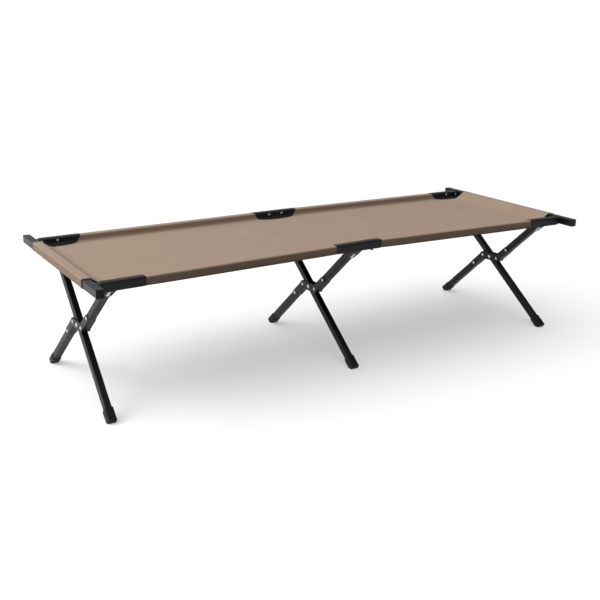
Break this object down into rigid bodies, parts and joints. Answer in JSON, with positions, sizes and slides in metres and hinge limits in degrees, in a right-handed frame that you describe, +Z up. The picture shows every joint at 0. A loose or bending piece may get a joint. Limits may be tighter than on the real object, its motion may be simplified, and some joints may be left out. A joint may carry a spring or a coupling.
{
  "type": "folding cot",
  "caption": "Camp cot: canvas bed stretched between two tube rails on three scissor leg sets, held apart by pull-off end bars, with black corner and centre patches.",
  "frame": {"origin": "on the floor, under the middle of the cot", "axes": "+X along the cot, +Y across it from the near side to the far side, +Z up"},
  "size_m": [1.9, 0.74, 0.4564],
  "materials": {
    "frame_tube": "black powder-coated square aluminium tube",
    "bar_tube": "dark grey satin powder-coated aluminium tube",
    "black_steel": "black painted pressed steel plate",
    "bright_fasteners": "bright zinc-plated rivets and bolts",
    "black_plastic": "matte moulded black plastic",
    "peg_plastic": "matte moulded black nylon",
    "bush_plastic": "natural nylon",
    "cot_fabric": "tan woven polyester canvas",
    "patch_fabric": "black heavy woven nylon, edge-bound"
  },
  "bodies": {
    "near_side": {"bed_sheet": "cot_fabric", "cross_pivots": "bright_fasteners", "cross_plates_left": "black_steel", "cross_plates_middle": "black_steel", "cross_plates_right": "black_steel", "cross_rivets": "bright_fasteners", "far_foot_left": "black_plastic", "far_foot_middle": "black_plastic", "far_foot_right": "black_plastic", "hem_left": "cot_fabric", "hem_right": "cot_fabric", "lower_leg_left": "frame_tube", "lower_leg_middle": "frame_tube", "lower_leg_right": "frame_tube", "near_bracket_left": "black_steel", "near_bracket_middle": "black_steel", "near_bracket_right": "black_steel", "near_bracket_rivets": "bright_fasteners", "near_leg_bolts": "bright_fasteners", "near_leg_detents": "bright_fasteners", "near_patch_left": "patch_fabric", "near_patch_middle": "patch_fabric", "near_patch_right": "patch_fabric", "near_patch_rivets": "bright_fasteners", "near_rail_hinge": "black_steel", "near_rail_left": "frame_tube", "near_rail_pegs": "peg_plastic", "near_rail_right": "frame_tube", "near_sleeve": "cot_fabric", "upper_leg_left": "frame_tube", "upper_leg_middle": "frame_tube", "upper_leg_right": "frame_tube"},
    "far_side": {"far_bracket_left": "black_steel", "far_bracket_middle": "black_steel", "far_bracket_right": "black_steel", "far_bracket_rivets": "bright_fasteners", "far_leg_bolts": "bright_fasteners", "far_leg_detents": "bright_fasteners", "far_patch_left": "patch_fabric", "far_patch_middle": "patch_fabric", "far_patch_right": "patch_fabric", "far_patch_rivets": "bright_fasteners", "far_rail_hinge": "black_steel", "far_rail_left": "frame_tube", "far_rail_pegs": "peg_plastic", "far_rail_right": "frame_tube", "far_sleeve": "cot_fabric", "near_foot_left": "black_plastic", "near_foot_middle": "black_plastic", "near_foot_right": "black_plastic", "pivot_bushes": "bush_plastic", "straight_leg_left": "frame_tube", "straight_leg_middle": "frame_tube", "straight_leg_right": "frame_tube"},
    "left_bar": {"bar_caps_left": "black_plastic", "end_bar_left": "bar_tube"},
    "right_bar": {"bar_caps_right": "black_plastic", "end_bar_right": "bar_tube"}
  },
  "joints": [
    {"name": "scissor_fold", "type": "hinge", "parent": "near_side", "child": "far_side", "pos_m": [0, 0, 0.226], "axis": [1, 0, 0], "range_deg": [0, 92], "deforming": ["bed_sheet", "hem_left", "hem_right"]},
    {"name": "left_bar_pull", "type": "slide", "parent": "near_side", "child": "left_bar", "axis": [-1, 0, 0], "range_m": [0, 0.333]},
    {"name": "right_bar_pull", "type": "slide", "parent": "near_side", "child": "right_bar", "axis": [1, 0, 0], "range_m": [0, 0.333]}
  ],
  "couplings": [
    {"joint": "left_bar_pull", "follows": "scissor_fold", "m_per_rad": 0.20626},
    {"joint": "right_bar_pull", "follows": "scissor_fold", "m_per_rad": 0.20626}
  ]
}
